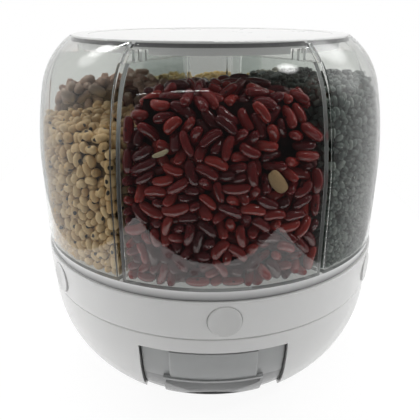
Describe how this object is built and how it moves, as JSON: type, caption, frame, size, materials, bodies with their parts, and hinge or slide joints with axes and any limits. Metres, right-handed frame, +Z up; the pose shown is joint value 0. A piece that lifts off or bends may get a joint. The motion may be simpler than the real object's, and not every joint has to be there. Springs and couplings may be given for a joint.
{
  "type": "rotating cereal dispenser",
  "caption": "Round countertop dispenser: clear wedge tanks under a flush lid turn on a bowl base; buttons on a ring open gates that drop grain into a pull-out cup.",
  "frame": {"origin": "on the floor under the rubber feet, on the turning axis", "axes": "+Z up along the turning axis; the drawer opens towards -Y"},
  "size_m": [0.2898, 0.2918, 0.279],
  "materials": {
    "white_plastic": "glossy moulded",
    "white_matte": "satin moulded",
    "clear_plastic": "clear polished",
    "smoky_plastic": "translucent smoky grey",
    "seal_silicone": "soft silicone",
    "rubber_foot": "matt rubber",
    "screw_steel": "zinc plated",
    "spring_steel": "drawn wire",
    "ball_steel": "polished",
    "cage_plastic": "moulded"
  },
  "bodies": {
    "base": {"base_bowl": "white_plastic", "bottom_plate": "white_matte", "rubber_feet": "rubber_foot", "bottom_screws": "screw_steel", "drawer_bay": "white_matte", "base_deck": "white_matte", "deck_screws": "screw_steel", "spindle_washer": "screw_steel", "spindle_screw": "screw_steel"},
    "rotor": {"rotor_base": "white_matte", "button_ring": "white_plastic", "ring_screws": "screw_steel", "rotor_tray": "white_matte", "tray_screws": "screw_steel", "tank_front": "clear_plastic", "tank_front_right": "clear_plastic", "tank_rear_right": "clear_plastic", "tank_rear": "clear_plastic", "tank_rear_left": "clear_plastic", "tank_front_left": "clear_plastic", "spring_front": "spring_steel", "spring_front_right": "spring_steel", "spring_rear_right": "spring_steel", "spring_rear": "spring_steel", "spring_rear_left": "spring_steel", "spring_front_left": "spring_steel"},
    "bearing": {"bearing_cage": "cage_plastic", "bearing_balls": "ball_steel"},
    "lid": {"lid": "white_plastic", "lid_seal": "seal_silicone"},
    "drawer": {"drawer_cup": "smoky_plastic"},
    "press_front": {"button_front": "white_plastic", "gate_front": "white_matte"},
    "press_front_right": {"button_front_right": "white_plastic", "gate_front_right": "white_matte"},
    "press_rear_right": {"button_rear_right": "white_plastic", "gate_rear_right": "white_matte"},
    "press_rear": {"button_rear": "white_plastic", "gate_rear": "white_matte"},
    "press_rear_left": {"button_rear_left": "white_plastic", "gate_rear_left": "white_matte"},
    "press_front_left": {"button_front_left": "white_plastic", "gate_front_left": "white_matte"}
  },
  "joints": [
    {"name": "rotor_spin", "type": "hinge", "parent": "base", "child": "rotor", "pos_m": [0, 0, 0.08], "axis": [0, 0, 1], "continuous": true},
    {"name": "bearing_spin", "type": "hinge", "parent": "base", "child": "bearing", "pos_m": [0, 0, 0.0765], "axis": [0, 0, 1], "continuous": true},
    {"name": "lid_lift", "type": "slide", "parent": "rotor", "child": "lid", "axis": [0, 0, 1], "range_m": [0, 0.06]},
    {"name": "drawer_slide", "type": "slide", "parent": "base", "child": "drawer", "axis": [0, -1, 0], "range_m": [0, 0.11]},
    {"name": "press_front", "type": "slide", "parent": "rotor", "child": "press_front", "axis": [-0.0523, 0.9986, 0], "range_m": [0, 0.013], "stiffness_N_per_m": 220, "springref_m": -0.008, "deforming": ["spring_front"]},
    {"name": "press_front_right", "type": "slide", "parent": "rotor", "child": "press_front_right", "axis": [-0.891, 0.454, 0], "range_m": [0, 0.013], "stiffness_N_per_m": 220, "springref_m": -0.008, "deforming": ["spring_front_right"]},
    {"name": "press_rear_right", "type": "slide", "parent": "rotor", "child": "press_rear_right", "axis": [-0.8387, -0.5446, 0], "range_m": [0, 0.013], "stiffness_N_per_m": 220, "springref_m": -0.008, "deforming": ["spring_rear_right"]},
    {"name": "press_rear", "type": "slide", "parent": "rotor", "child": "press_rear", "axis": [0.0523, -0.9986, 0], "range_m": [0, 0.013], "stiffness_N_per_m": 220, "springref_m": -0.008, "deforming": ["spring_rear"]},
    {"name": "press_rear_left", "type": "slide", "parent": "rotor", "child": "press_rear_left", "axis": [0.891, -0.454, 0], "range_m": [0, 0.013], "stiffness_N_per_m": 220, "springref_m": -0.008, "deforming": ["spring_rear_left"]},
    {"name": "press_front_left", "type": "slide", "parent": "rotor", "child": "press_front_left", "axis": [0.8387, 0.5446, 0], "range_m": [0, 0.013], "stiffness_N_per_m": 220, "springref_m": -0.008, "deforming": ["spring_front_left"]}
  ],
  "couplings": [
    {"joint": "bearing_spin", "follows": "rotor_spin", "ratio": 0.5}
  ]
}
